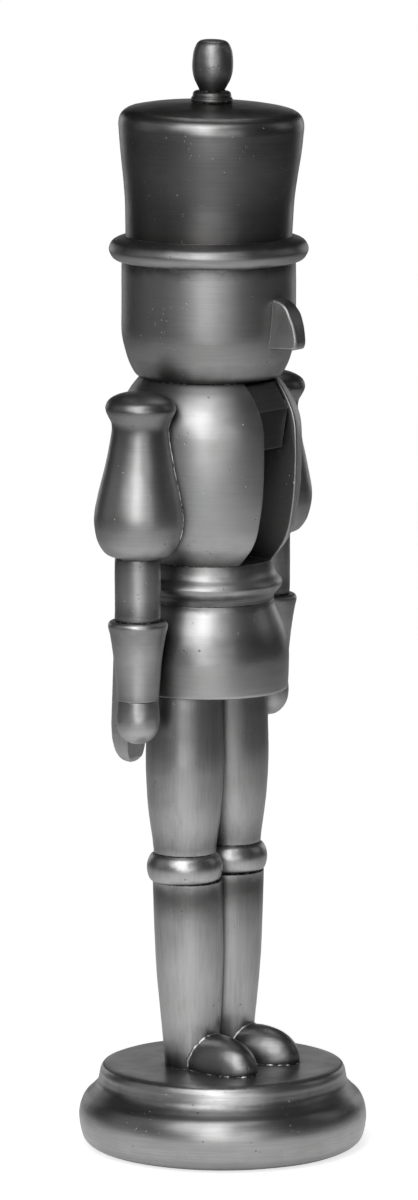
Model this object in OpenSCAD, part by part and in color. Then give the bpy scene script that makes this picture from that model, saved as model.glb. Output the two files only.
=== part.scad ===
// Standing soldier nutcracker with a working jaw: turned pieces on a round base.
// Origin: centre of the base's underside. +Z up. The figure faces -Y, so its
// right arm is on the -X side. Outlines are written as [radius, height above
// the piece's own bottom]; side views as [distance forward of the body's
// axis, height above the underside].

/* [Base] */
// Widest radius of the base
base_r = 46.2; // [44:0.2:50]
// Height of the base's flat top
base_h = 27; // [25:0.5:30]
// How far the figure's axis stands behind the base's axis
setback = 5.6; // [0:0.2:8]

/* [Legs] */
// Distance of each ankle from the middle
ankle_offset = 8.8; // [8.75:0.05:9.5]
// Distance of each knee and thigh from the middle
knee_offset = 12; // [11.5:0.1:13]
// Radius of a boot at the ankle
ankle_r = 8.7; // [8:0.1:9]
// Radius of a boot at its top
boot_top_r = 11.1; // [10:0.1:11.5]
// Height of a boot
boot_h = 60.6; // [50:0.2:65]
// Height of a knee band
knee_h = 9.2; // [8:0.2:13]
// Height of a thigh
thigh_h = 51.9; // [45:0.1:60]
// Half the width of a shoe
shoe_r = 8.2; // [7:0.1:8.4]
// Height of a shoe
shoe_h = 11.3; // [9:0.1:13]
// Ankle to the tip of the toe
toe_reach = 27.1; // [24:0.1:29]
// Ankle to the widest part of the shoe
shoe_middle = 12; // [10:0.5:14]

/* [Body] */
// Height of the coat's skirt
skirt_h = 29; // [22:0.5:30]
// Height of the sash
sash_h = 12.9; // [12:0.1:18]
// Height of the coat above the sash
coat_h = 58.4; // [54:0.4:62]
// Greatest radius of the coat
coat_r = 29.5; // [28:0.1:31]

/* [Jaw] */
// Width of the slot through the coat
slot_w = 16.4; // [14:0.2:18]
// Gap between the slot's wall and each side of the lever
side_gap = 0.3; // [0.2:0.05:0.5]
// Radius of the pin that the lever turns on
pin_r = 2; // [1.5:0.1:3]
// Radial clearance of the pin in the lever
pin_gap = 0.05; // [0.01:0.01:0.1]

/* [Head and hat] */
// Radius of the head
head_r = 27.75; // [26:0.25:29]
// Height of the head
head_h = 37; // [34:0.5:40]
// Outer radius of the brim
brim_r = 31.7; // [30.5:0.1:33]
// Height of the hat above the brim
hat_h = 42.6; // [38:0.2:48]
// How far the hat tips forward, in degrees
hat_tip = 1.6; // [0:0.1:2]
// Length of the egg-shaped finial above its collar
finial_h = 16.2; // [14:0.2:20]

/* [Arms] */
// Distance of each arm from the middle
arm_offset = 34.3; // [34:0.1:36]
// Greatest radius of a sleeve
sleeve_r = 14.1; // [12.5:0.1:14.5]
// Radius of a forearm
forearm_r = 7.3; // [6.5:0.1:8]

/* [Hidden] */
$fn = 96;

RIGHT = -1;
LEFT = 1;
pewter = [0.42, 0.42, 0.43];
wood = [0.76, 0.62, 0.44];

// Heights of the joints between the pieces
knee_z = base_h + boot_h;
thigh_z = knee_z + knee_h;
skirt_z = thigh_z + thigh_h;
sash_z = skirt_z + skirt_h;
coat_z = sash_z + sash_h;
head_z = coat_z + coat_h;
brim_z = head_z + head_h;
brim_h = 7.8;
hat_z = brim_z + brim_h;
hat_top_z = hat_z + hat_h;
collar_h = 3.4;

// Felt pad let into the underside, standing a little proud of the wood
felt_r = 34;
felt_h = 1.6;
felt_proud = 0.6;

// Dowels and tenons: the glue gap is all round
glue_gap = 0.05;
dowel_r = 3;
arm_dowel_r = 2.5;
hat_dowel_r = 5;
waist_tenon_r = 15;
waist_tenon_h = 10;
finial_stem_r = 2.2;
finial_stem_h = 9;
neck_dowel_offset = 15;

// Legs and arms stand a little behind the body's axis
ankle_back = 0.1;
leg_back = 0.6;
arm_back = 2.2;
hand_z = 134.8;
cuff_z = 149;
forearm_z = 174.4;
sleeve_z = coat_z + 4.1;
sleeve_lean = 1.4;
seat_gap = 0.03;
shoulder_dowel_z = coat_z + 17;

// The lever's pin, and the web of wood left standing in the slot under it
pin_forward = -6;
pin_z = coat_z + 37.4;
pin_length = 52;
web_front = 6;
web_back = -15;
web_top = coat_z + 20.4;
lever_w = slot_w - 2 * side_gap;
lever_top = head_z - 0.8;
jaw_front = 17.5;

// One point of a smooth curve between b and c, t of the way along
function curve_point(a, b, c, d, t) =
    0.5 * (2 * b + (c - a) * t + (2 * a - 5 * b + 4 * c - d) * t * t
        + (3 * b - a - 3 * c + d) * t * t * t);

// A smooth curve through every point of a list, n steps to a span
function smooth(p, n = 4) = concat(
    [for (i = [0 : len(p) - 2], k = [0 : n - 1])
        curve_point(p[max(i - 1, 0)], p[i], p[i + 1], p[min(i + 2, len(p) - 1)], k / n)],
    [p[len(p) - 1]]);

// The middle of the figure, which stands behind the middle of the base
module figure() {
    translate([0, setback, 0]) children();
}

// A turned piece from its outline, closed along its axis
module turned(outline, z = 0) {
    top = outline[len(outline) - 1][1];
    translate([0, 0, z])
        rotate_extrude()
            polygon(concat([[0, outline[0][1]]], outline, [[0, top]]));
}

// A plate cut to a side view and centred on the body's middle plane
module side_plate(width) {
    rotate([0, 0, -90])
        rotate([90, 0, 0])
            linear_extrude(height = width, center = true)
                children();
}

// A plate cut to a front view, from one forward distance to another
module front_plate(from, to) {
    translate([0, -from, 0])
        rotate([90, 0, 0])
            linear_extrude(height = to - from)
                children();
}

// An upright peg, or the hole for one
module peg(r, from, to) {
    translate([0, 0, from]) cylinder(r = r, h = to - from);
}

// A peg across the body, or the hole for one
module cross_peg(r, from, to) {
    translate([from, 0, 0]) rotate([0, 90, 0]) cylinder(r = r, h = to - from);
}

// ---- Base ----

module base() {
    lower = [[41, 0], [43.4, 1.1], [45.2, 3.4], [base_r, 8.6], [base_r - 0.4, 12.6],
        [base_r - 1.8, 15.8], [42.2, 18], [40.3, 20.2]];
    upper = [[39.7, 22.4], [39.3, 24.4], [38.5, 25.8], [37, base_h - felt_proud]];
    color(pewter)
        difference() {
            turned(smooth(concat(lower, upper), 3), felt_proud);
            peg(felt_r + glue_gap, -1, felt_h);
            for (side = [RIGHT, LEFT])
                ankle(side) peg(dowel_r + glue_gap, base_h - 15, base_h + 1);
        }
}

module base_felt() {
    color([0.1, 0.22, 0.14]) peg(felt_r, 0, felt_h);
}

// ---- Legs ----

module ankle(side) {
    figure() translate([side * ankle_offset, ankle_back, 0]) children();
}

module knee(side) {
    figure() translate([side * knee_offset, leg_back, 0]) children();
}

// One side of the figure between two heights, short of the middle plane by
// half the seam between the legs
module leg_room(side, from, to) {
    seam = 0.06;
    figure()
        translate([side * (25 + seam / 2), 0, (from + to) / 2])
            cube([50, 70, to - from], center = true);
}

// The boot's solid: a slim barrel that leans out from ankle to knee. Its
// inner side is planed flat where the two legs meet.
module boot_body(side, grow = 0) {
    lean = atan((boot_top_r - ankle_r) / boot_h);
    outline = [[ankle_r - 0.05, -2], [ankle_r, 0], [ankle_r + 0.45, 9], [ankle_r + 1.2, 19],
        [boot_top_r - 0.25, 36], [boot_top_r, 53], [boot_top_r, boot_h + 2]];
    intersection() {
        ankle(side)
            translate([0, 0, base_h])
                rotate([0, side * lean, 0])
                    turned([for (p = smooth(outline, 3)) [p[0] + grow, p[1]]]);
        leg_room(side, base_h, knee_z);
    }
}

module boot(side) {
    color(pewter)
        difference() {
            boot_body(side);
            ankle(side) peg(dowel_r + glue_gap, base_h - 1, base_h + 20);
            knee(side) peg(dowel_r + glue_gap, knee_z - 15, knee_z + 1);
        }
}

// A domed shoe, longer than it is wide, that turns a little outwards
module shoe(side) {
    half = [[shoe_r - 0.2, 0], [shoe_r, 1.6], [shoe_r - 0.25, 3.9], [shoe_r - 1, 6.3],
        [shoe_r - 2.3, 8.4], [shoe_r - 4.1, 10], [shoe_r - 6.1, shoe_h - 0.3], [0, shoe_h]];
    splay = 7;
    color(pewter)
        difference() {
            intersection() {
                ankle(side)
                    translate([0, 0, base_h])
                        rotate([0, 0, side * splay])
                            translate([0, -shoe_middle, 0])
                                scale([1, (toe_reach - shoe_middle) / shoe_r, 1])
                                    rotate_extrude()
                                        polygon(concat([[0, 0]], smooth(half, 3)));
                leg_room(side, base_h, base_h + 20);
            }
            boot_body(side, 0.02);
        }
}

module knee_band(side) {
    outline = [[10.3, 0], [11.2, 0.8], [11.85, 2.4], [12.1, knee_h / 2], [11.8, knee_h - 2.7],
        [11, knee_h - 1], [9.9, knee_h]];
    color(pewter)
        intersection() {
            knee(side)
                difference() {
                    turned(smooth(outline, 3), knee_z);
                    peg(dowel_r + glue_gap, knee_z - 1, thigh_z + 1);
                }
            leg_room(side, knee_z, thigh_z);
        }
}

module thigh(side) {
    outline = [[9.9, 0], [10.3, 4], [11.1, 10], [11.8, 16], [12.25, 23], [12.45, 30],
        [12.25, 40], [11.9, thigh_h]];
    color(pewter)
        intersection() {
            knee(side)
                difference() {
                    turned(smooth(outline, 3), thigh_z);
                    peg(dowel_r + glue_gap, thigh_z - 1, thigh_z + 16);
                    peg(dowel_r + glue_gap, skirt_z - 16, skirt_z + 1);
                }
            leg_room(side, thigh_z, skirt_z);
        }
}

// ---- Body ----

module coat_skirt() {
    outline = [[25.2, 0], [25.4, 3], [25.6, 8], [25.6, 12], [25.1, 16], [24.3, 19], [23.25, 21.8],
        [22.15, 24.3], [21.35, 26.2], [20.9, 27.6], [20.75, skirt_h]];
    color(pewter)
        figure()
            difference() {
                turned(smooth(outline, 3), skirt_z);
                peg(waist_tenon_r + glue_gap, sash_z - waist_tenon_h, sash_z + 1);
                for (side = [RIGHT, LEFT])
                    translate([side * knee_offset, leg_back, 0])
                        peg(dowel_r + glue_gap, skirt_z - 1, skirt_z + 12);
            }
}

// The sash: a hollow waist under a rolled bead, threaded on the coat's tenon
module sash() {
    outline = [[20.75, 0], [20.8, 0.9], [21.3, 2], [22.3, 3.1], [23.1, 4.1], [23.45, 5.2],
        [23.3, 6], [22.7, 6.95], [22.05, 7.7], [21.45, 8.45], [21.05, 9.4], [20.8, 10.5],
        [20.5, sash_h]];
    color(pewter)
        figure()
            difference() {
                turned(smooth(outline, 3), sash_z);
                peg(waist_tenon_r + glue_gap, sash_z - 1, coat_z + 1);
            }
}

function coat_outline(grow = 0) =
    let (r = coat_r + grow)
        smooth([[r - 9.1, 0], [r - 6.6, 3], [r - 4.3, 6.2], [r - 2.5, 10.5], [r - 1.2, 17],
            [r - 0.4, 23.5], [r, 31], [r, 40], [r - 0.6, 45.6], [r - 1.6, 49.6],
            [r - 3.1, 53], [r - 5.2, 56], [r - 7.6, coat_h]], 3);

// The slot that the jaw lever works in: open at the front, back and top, with
// a web left standing across its lower half
module jaw_slot() {
    half = slot_w / 2;
    difference() {
        translate([-half, -2 * coat_r, coat_z])
            cube([slot_w, 4 * coat_r, coat_h + 1]);
        translate([-half - 1, -web_front, coat_z - 1])
            cube([slot_w + 2, web_front - web_back, web_top - coat_z + 1]);
    }
}

module coat_body() {
    color(pewter)
        figure()
            difference() {
                union() {
                    turned(coat_outline(), coat_z);
                    peg(waist_tenon_r, sash_z - waist_tenon_h + 0.5, coat_z + 1);
                }
                jaw_slot();
                translate([0, -pin_forward, pin_z])
                    cross_peg(pin_r, -2 * coat_r, 2 * coat_r);
                translate([0, arm_back, shoulder_dowel_z])
                    for (side = [RIGHT, LEFT])
                        translate([side * 22, 0, 0])
                            cross_peg(dowel_r + glue_gap, -8, 8);
                for (side = [RIGHT, LEFT])
                    translate([side * neck_dowel_offset, 0, 0])
                        peg(dowel_r + glue_gap, head_z - 11, head_z + 1);
            }
}

// ---- Arms ----

module arm(side) {
    figure() translate([side * arm_offset, arm_back, 0]) children();
}

// The upper arm: a domed shoulder, a narrow neck and a full, vase-shaped
// sleeve, hollowed on its inner side to sit against the round of the coat
module sleeve(side) {
    outline = [[7.6, 0], [10.4, 1.3], [12.7, 4.7], [sleeve_r - 0.3, 8.8], [sleeve_r, 12.2],
        [13.8, 15.8], [12.7, 21], [11.2, 27.5], [9.8, 34.5], [9, 40], [9.2, 42.8],
        [10.1, 44.6], [10.95, 46.4], [11.1, 48], [10.2, 49.8], [8.1, 51.2], [5, 52.2], [0, 52.6]];
    color(pewter)
        difference() {
            arm(side)
                translate([0, 0, sleeve_z])
                    rotate([sleeve_lean, 0, 0])
                        turned(smooth(outline, 3));
            figure() turned(coat_outline(seat_gap), coat_z);
            arm(side)
                translate([0, 0, sleeve_z - 2])
                    cube([60, 60, 4], center = true);
            arm(side) {
                peg(arm_dowel_r + glue_gap, sleeve_z - 1, sleeve_z + 9);
                translate([0, 0, shoulder_dowel_z])
                    cross_peg(dowel_r + glue_gap, -12, 3);
                translate([0, 0, shoulder_dowel_z])
                    cross_peg(dowel_r + glue_gap, -3, 12);
            }
        }
}

module forearm(side) {
    color(pewter)
        arm(side)
            difference() {
                peg(forearm_r, forearm_z, sleeve_z);
                peg(arm_dowel_r + glue_gap, forearm_z - 1, sleeve_z + 1);
            }
}

module cuff(side) {
    top = forearm_z - cuff_z;
    outline = [[6.6, 0], [6.75, 2.4], [7.15, 8], [7.8, 14], [8.7, 20], [9.35, top - 2.4],
        [9.4, top - 1], [8.7, top - 0.1], [7.8, top]];
    color(pewter)
        arm(side)
            difference() {
                turned(smooth(outline, 3), cuff_z);
                peg(arm_dowel_r + glue_gap, cuff_z - 1, forearm_z + 1);
            }
}

// A plain round-ended fist
module hand(side) {
    top = cuff_z - hand_z;
    outline = [[0, 0], [2.4, 0.4], [4.7, 1.9], [6.3, 4.4], [6.85, 7.4], [6.75, 10.4], [6.4, top]];
    color(pewter)
        arm(side)
            difference() {
                turned(smooth(outline, 3), hand_z);
                peg(arm_dowel_r + glue_gap, cuff_z - 8, cuff_z + 1);
            }
}

// ---- Jaw ----

// One piece: a jaw block, an arm back through the slot, and a tail that hangs
// behind the coat. The top of the arm is round about the pin, so that it
// stays under the head as the tail is lifted.
module jaw_lever() {
    top_reach = lever_top - pin_z;
    top = [[jaw_front, lever_top],
        for (a = [0 : 6 : 24]) [pin_forward - top_reach * sin(a), pin_z + top_reach * cos(a)]];
    back = [[-22, coat_z + 52.2], [-27.4, coat_z + 49], [-30, coat_z + 43],
        [-31.2, coat_z + 4], [-33.5, 160], [-35.4, 134]];
    tip = [[-35.3, 129], [-34.5, 125], [-33, 122], [-30.8, 121], [-29.5, 122.6]];
    front = [[-28.8, 131], [-27.9, 146], [-26.6, 163], [-24.9, 180], [-22.8, 196],
        [-20.2, 206], [-16, 212.6], [-8, 217], [4, 221], [jaw_front, coat_z + 37.8]];
    color(pewter)
        figure()
            difference() {
                intersection() {
                    side_plate(lever_w)
                        polygon(concat(top, smooth(back, 3), smooth(tip, 2), smooth(front, 3)));
                    front_plate(-50, 50)
                        polygon(tail_front_view());
                }
                translate([0, -pin_forward, pin_z])
                    cross_peg(pin_r + pin_gap, -lever_w, lever_w);
            }
}

// Seen from behind, the tail narrows towards its rounded end
function tail_front_view() =
    let (half = lever_w / 2,
        tip = [[0, 120.9], [2.1, 121.5], [3.7, 123.3], [4.6, 126.4], [5.1, 131]],
        edge = concat(tip, [[half, 200], [half, head_z]]))
        concat(edge, [for (i = [len(edge) - 1 : -1 : 1]) [-edge[i].x, edge[i].y]]);

// The beard plate on the jaw: it leans out to a crease, drops straight, and
// narrows towards its lower edge
module beard() {
    crease_z = head_z - 9;
    bottom_z = head_z - 21.3;
    half = lever_w / 2;
    color(pewter)
        figure()
            intersection() {
                side_plate(lever_w)
                    polygon([[jaw_front, lever_top], [20.2, lever_top], [25.5, crease_z],
                        [25.5, bottom_z], [jaw_front, bottom_z]]);
                front_plate(0, 40)
                    polygon([[-half, head_z], [-half, crease_z], [-4.7, bottom_z - 0.01],
                        [4.7, bottom_z - 0.01], [half, crease_z], [half, head_z]]);
            }
}

module pivot_pin() {
    color([0.7, 0.7, 0.72])
        figure()
            translate([0, -pin_forward, pin_z])
                cross_peg(pin_r, -pin_length / 2, pin_length / 2);
}

// ---- Head and hat ----

module head() {
    r = head_r;
    outline = [[21.9, 0], [23.1, 0.8], [r - 3.6, 2.2], [r - 2.3, 5], [r - 1.3, 8.2],
        [r - 0.45, 11.8], [r - 0.05, 15.5], [r, 24], [r - 0.1, head_h - 1], [r - 0.4, head_h]];
    color(pewter)
        figure()
            difference() {
                turned(smooth(outline, 3), head_z);
                for (side = [RIGHT, LEFT])
                    translate([side * neck_dowel_offset, 0, 0])
                        peg(dowel_r + glue_gap, head_z - 1, head_z + 11);
                peg(hat_dowel_r + glue_gap, brim_z - 13, brim_z + 1);
            }
}

// A plain wedge: a quarter-round ridge of even width seen from the side, and
// sides that spread towards the head at its foot
module nose() {
    foot_z = head_z + 10.9;
    top_z = head_z + 26.8;
    reach = head_r + 8.65;
    ridge_half = 2.75;
    foot_half = 4.7;
    ridge = smooth([[head_r - 1, top_z], [head_r + 2, top_z - 0.6], [head_r + 4.6, top_z - 2.2],
        [head_r + 6.6, top_z - 5], [head_r + 8, top_z - 8.6], [reach, top_z - 12.4],
        [reach - 0.1, foot_z + 1.6], [reach - 0.7, foot_z + 0.4], [reach - 1.8, foot_z]], 3);
    color(pewter)
        figure()
            difference() {
                intersection() {
                    side_plate(20)
                        polygon(concat([[head_r - 6, foot_z], [head_r - 6, top_z]], ridge));
                    front_plate(0, 50)
                        polygon([[-foot_half, foot_z], [foot_half, foot_z],
                            [ridge_half, top_z], [-ridge_half, top_z]]);
                    translate([0, 0, foot_z - 1])
                        linear_extrude(height = 30)
                            polygon([[-foot_half, 0], [-foot_half, -head_r], [-ridge_half, -reach],
                                [ridge_half, -reach], [foot_half, -head_r], [foot_half, 0]]);
                }
                peg(head_r + 0.02, head_z, brim_z);
            }
}

module brim() {
    mid = brim_h / 2;
    outline = [[28.2, 0], [29.9, 0.5], [31, 1.7], [brim_r, mid - 0.2], [30.9, brim_h - 2],
        [29.4, brim_h - 0.9], [27.3, brim_h - 0.2], [26.6, brim_h]];
    color(pewter)
        figure()
            difference() {
                turned(smooth(outline, 3), brim_z);
                peg(hat_dowel_r + glue_gap, brim_z - 1, hat_z + 1);
            }
}

// What stands on the brim tips a little forward with the hat
module tipped() {
    figure()
        translate([0, 0, hat_z])
            rotate([hat_tip, 0, 0])
                translate([0, 0, -hat_z])
                    children();
}

// The tall hat: it flares towards a rounded rim and a slightly domed top, and
// its underside is cut level to stand on the brim
module hat() {
    outline = [[26.4, -1], [26.45, 1], [26.6, 5.4], [26.9, 11.6], [27.6, 18.4], [28.7, 27],
        [29.25, 33], [29.4, 35.6], [28.9, 37.8], [27.5, 39.4], [25, 40.4], [18, 41.5],
        [9, hat_h - 0.4], [0, hat_h]];
    color(pewter)
        difference() {
            tipped() turned(smooth(outline, 3), hat_z);
            figure() peg(brim_r, hat_z - 4, hat_z);
            figure() peg(hat_dowel_r + glue_gap, hat_z - 5, hat_z + 13);
            tipped() peg(finial_stem_r + glue_gap, hat_top_z - finial_stem_h, hat_top_z + 1);
        }
}

module finial_collar() {
    outline = [[6.5, 0], [6.65, 0.6], [6.5, 1.2], [6.15, 1.6], [6.1, 2.3], [5.8, 3],
        [5.2, collar_h]];
    color(pewter)
        tipped()
            difference() {
                turned(smooth(outline, 3), hat_top_z);
                peg(finial_stem_r + glue_gap, hat_top_z - 1, hat_top_z + collar_h + 1);
            }
}

// An egg with a blunt top, on a stem that runs down through the collar
module finial() {
    z = hat_top_z + collar_h;
    outline = [[3.9, 0], [4.3, 0.9], [5, 2.2], [5.75, 3.8], [6.3, 6], [6.48, 8.4], [6.3, 11.2],
        [5.95, 13], [5.35, 14.5], [4.7, 15.4], [3.7, 15.95], [2, finial_h - 0.05], [0, finial_h]];
    color(pewter)
        tipped() {
            turned(smooth(outline, 3), z);
            peg(finial_stem_r, hat_top_z - finial_stem_h + 0.5, z + 1);
        }
}

// ---- Dowels inside the figure ----

module ankle_dowels() {
    color(wood)
        for (side = [RIGHT, LEFT])
            ankle(side) peg(dowel_r, base_h - 14.5, base_h + 19.5);
}

module knee_dowels() {
    color(wood)
        for (side = [RIGHT, LEFT])
            knee(side) peg(dowel_r, knee_z - 14.5, thigh_z + 15.5);
}

module hip_dowels() {
    color(wood)
        for (side = [RIGHT, LEFT])
            knee(side) peg(dowel_r, skirt_z - 15.5, skirt_z + 11.5);
}

module shoulder_dowels() {
    color(wood)
        figure()
            translate([0, arm_back, shoulder_dowel_z])
                for (side = [RIGHT, LEFT])
                    translate([side * 25.5, 0, 0])
                        cross_peg(dowel_r, -11, 11);
}

module arm_dowels() {
    color(wood)
        for (side = [RIGHT, LEFT])
            arm(side) peg(arm_dowel_r, cuff_z - 7.5, sleeve_z + 8.5);
}

module neck_dowels() {
    color(wood)
        figure()
            for (side = [RIGHT, LEFT])
                translate([side * neck_dowel_offset, 0, 0])
                    peg(dowel_r, head_z - 10.5, head_z + 10.5);
}

module hat_dowel() {
    color(wood)
        figure() peg(hat_dowel_r, brim_z - 12.5, hat_z + 12.5);
}

base();
base_felt();
shoe(RIGHT);  // right_shoe
shoe(LEFT);  // left_shoe
boot(RIGHT);  // right_boot
boot(LEFT);  // left_boot
knee_band(RIGHT);  // right_knee_band
knee_band(LEFT);  // left_knee_band
thigh(RIGHT);  // right_thigh
thigh(LEFT);  // left_thigh
coat_skirt();
sash();
coat_body();
sleeve(RIGHT);  // right_sleeve
sleeve(LEFT);  // left_sleeve
forearm(RIGHT);  // right_forearm
forearm(LEFT);  // left_forearm
cuff(RIGHT);  // right_cuff
cuff(LEFT);  // left_cuff
hand(RIGHT);  // right_hand
hand(LEFT);  // left_hand
jaw_lever();
beard();
pivot_pin();
head();
nose();
brim();
hat();
finial_collar();
finial();
ankle_dowels();
knee_dowels();
hip_dowels();
shoulder_dowels();
arm_dowels();
neck_dowels();
hat_dowel();
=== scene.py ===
"""Looks of the soldier nutcracker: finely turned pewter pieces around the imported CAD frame.

Every outline is in millimetres, as [radius, height above the piece's own bottom], and a side
view is [distance forward of the body's axis, height above the underside]. Where a piece
stands comes from the frame. Meshes are made in metres.
"""

import math

import bmesh
import bpy
from mathutils import Matrix, Vector, noise


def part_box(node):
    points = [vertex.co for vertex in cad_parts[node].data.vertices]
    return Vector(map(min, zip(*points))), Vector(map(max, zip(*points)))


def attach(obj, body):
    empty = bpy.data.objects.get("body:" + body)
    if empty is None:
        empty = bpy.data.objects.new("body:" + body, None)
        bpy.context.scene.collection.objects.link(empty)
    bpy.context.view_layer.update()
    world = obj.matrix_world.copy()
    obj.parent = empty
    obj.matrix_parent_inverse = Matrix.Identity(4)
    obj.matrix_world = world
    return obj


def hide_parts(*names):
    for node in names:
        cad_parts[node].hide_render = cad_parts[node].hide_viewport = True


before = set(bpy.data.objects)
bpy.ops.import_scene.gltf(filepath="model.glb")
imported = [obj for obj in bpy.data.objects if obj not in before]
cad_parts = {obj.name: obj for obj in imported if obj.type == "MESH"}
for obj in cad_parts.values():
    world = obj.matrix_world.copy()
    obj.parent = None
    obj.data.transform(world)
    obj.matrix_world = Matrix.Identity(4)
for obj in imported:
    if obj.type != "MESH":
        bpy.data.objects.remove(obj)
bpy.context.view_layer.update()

MM = 0.001
RIGHT, LEFT = -1, 1
SIDES = {"right": RIGHT, "left": LEFT}
AROUND = 192          # segments round a large turned piece
AROUND_SMALL = 112    # segments round a limb
SPAN_STEPS = 7        # rings between two points of an outline
EDGE = 0.35           # round-over where a turned piece meets its neighbour, in mm
CREASE_ANGLE = math.radians(38)
SEAM_ANGLE = math.radians(24)    # a cut edge sharper than this may carry a bead of lacquer
SEAM_SPACING = 0.5               # between the points of a bead, in mm
CORNER_STEPS = (0, 0.2, 0.4, 0.6, 0.8)


def name_of(side):
    return "right" if side == RIGHT else "left"


# ---- Places, read from the frame ----

def low(node):
    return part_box(node)[0] / MM


def high(node):
    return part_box(node)[1] / MM


def middle(node):
    return (low(node) + high(node)) / 2


def pair_offset(node, radius):
    """How far from the middle plane the two dowels of a pair stand."""
    return high(node).x - radius


DOWEL_R = 3
ARM_DOWEL_R = 2.5
axis_y = middle("head").y
ankle_x = pair_offset("ankle_dowels", DOWEL_R)
ankle_y = middle("ankle_dowels").y
knee_x = pair_offset("knee_dowels", DOWEL_R)
knee_y = middle("knee_dowels").y
arm_x = pair_offset("arm_dowels", ARM_DOWEL_R)
arm_y = middle("arm_dowels").y

base_top = high("base").z
knee_z = low("right_knee_band").z
thigh_z = low("right_thigh").z
skirt_z = low("coat_skirt").z
sash_z = low("sash").z
coat_z = high("sash").z
head_z = low("head").z
brim_z = low("brim").z
brim_h = high("brim").z - brim_z
hat_z = low("hat").z
hat_h = 42.6
hat_lean = math.radians(1.6)
coat_h = head_z - coat_z
coat_r = (high("coat_body").x - low("coat_body").x) / 2
lever_half = (high("jaw_lever").x - low("jaw_lever").x) / 2
slot_half = lever_half + 0.3
lever_top = high("jaw_lever").z
FULL_HEIGHT = high("finial").z
pin_y, pin_z = middle("pivot_pin").y, middle("pivot_pin").z
pin_forward = axis_y - pin_y


# ---- Outlines ----

def curve_point(a, b, c, d, t):
    """A point between b and c on the smooth curve through a, b, c and d."""
    return [0.5 * (2 * q + (r - p) * t + (2 * p - 5 * q + 4 * r - s) * t * t
                   + (3 * q - p - 3 * r + s) * t ** 3) for p, q, r, s in zip(a, b, c, d)]


def smooth(points, steps=SPAN_STEPS):
    """A smooth curve through every point."""
    last = len(points) - 1
    curve = [curve_point(points[max(i - 1, 0)], points[i], points[i + 1], points[min(i + 2, last)],
                         k / steps) for i in range(last) for k in range(steps)]
    return curve + [list(points[last])]


def bend(a, b, c, steps):
    """Points on the curve that leaves a towards b and reaches c."""
    return [[(1 - t) ** 2 * p + 2 * t * (1 - t) * q + t * t * r for p, q, r in zip(a, b, c)]
            for t in steps]


def softened(curve, start=EDGE, end=EDGE):
    """The curve with its first and last corner rounded into the flat ends of the piece."""
    def corner(points, size):
        tip = points[0]
        inner = [p for p in points[1:] if math.dist(p, tip) > size]
        return bend([tip[0] - size, tip[1]], tip, inner[0], CORNER_STEPS) + inner
    if start:
        curve = corner(curve, start)
    if end:
        curve = corner(curve[::-1], end)[::-1]
    return curve


def floor_rings(radius, height, step=3.0):
    """Points across a flat round face, from near its middle out to its edge."""
    count = max(1, round(radius / step))
    return [[radius * i / count, height] for i in range(1, count)]


# ---- Meshes ----

def placed(name, data):
    """A new object in the scene."""
    made = bpy.data.objects.new(name, data)
    bpy.context.scene.collection.objects.link(made)
    return made


def evaluated_mesh(thing):
    """An object's mesh with its modifiers applied."""
    graph = bpy.context.evaluated_depsgraph_get()
    mesh = bpy.data.meshes.new_from_object(thing.evaluated_get(graph))
    mesh.name = thing.name
    return mesh


def shade_smooth(mesh):
    mesh.polygons.foreach_set("use_smooth", [True] * len(mesh.polygons))


def finished(name, bm):
    """A smooth-shaded object from a bmesh in millimetres."""
    bmesh.ops.remove_doubles(bm, verts=bm.verts, dist=0.002)
    bmesh.ops.recalc_face_normals(bm, faces=bm.faces)
    bmesh.ops.scale(bm, vec=(MM, MM, MM), verts=bm.verts)
    mesh = bpy.data.meshes.new(name)
    bm.to_mesh(mesh)
    bm.free()
    shade_smooth(mesh)
    mesh.set_sharp_from_angle(angle=CREASE_ANGLE)
    return placed(name, mesh)


def lathe(outline, around=AROUND, place=(0, 0, 0)):
    """A closed turned solid. The outline runs from bottom to top and is closed along the axis."""
    bm = bmesh.new()
    bottom = bm.verts.new((0, 0, outline[0][1]))
    top = bm.verts.new((0, 0, outline[-1][1]))
    rings = []
    for radius, height in outline:
        if radius > 1e-4:
            rings.append([bm.verts.new((radius * math.cos(a), radius * math.sin(a), height))
                          for a in (math.tau * i / around for i in range(around))])
    for i in range(around):
        j = (i + 1) % around
        bm.faces.new((bottom, rings[0][j], rings[0][i]))
        bm.faces.new((top, rings[-1][i], rings[-1][j]))
        for below, above in zip(rings, rings[1:]):
            bm.faces.new((below[i], below[j], above[j], above[i]))
    bmesh.ops.translate(bm, vec=place, verts=bm.verts)
    return bm


def loft(loops):
    """A closed solid through loops of equal length, with a flat face on each end."""
    bm = bmesh.new()
    rings = [[bm.verts.new(p) for p in loop] for loop in loops]
    count = len(rings[0])
    for below, above in zip(rings, rings[1:]):
        for i in range(count):
            j = (i + 1) % count
            bm.faces.new((below[i], below[j], above[j], above[i]))
    bm.faces.new(rings[0][::-1])
    bm.faces.new(rings[-1])
    return bm


def plate(side_view, half):
    """A plate cut to a side view, half its width to each side of the middle plane."""
    return loft([[(x, axis_y - forward, height) for forward, height in side_view]
                 for x in (-half, half)])


def trim(bm, point, normal):
    """Cuts away what lies beyond a plane, and closes the cut with a flat face."""
    made = bmesh.ops.bisect_plane(bm, geom=bm.verts[:] + bm.edges[:] + bm.faces[:], dist=1e-5,
                                  plane_co=point, plane_no=normal, clear_outer=True)
    rim = [e for e in made["geom_cut"] if isinstance(e, bmesh.types.BMEdge)]
    bmesh.ops.edgeloop_fill(bm, edges=[e for e in rim if len(e.link_faces) == 1])


def turn(bm, angle, axis, centre):
    bmesh.ops.rotate(bm, cent=centre, matrix=Matrix.Rotation(angle, 3, axis), verts=bm.verts)


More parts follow.
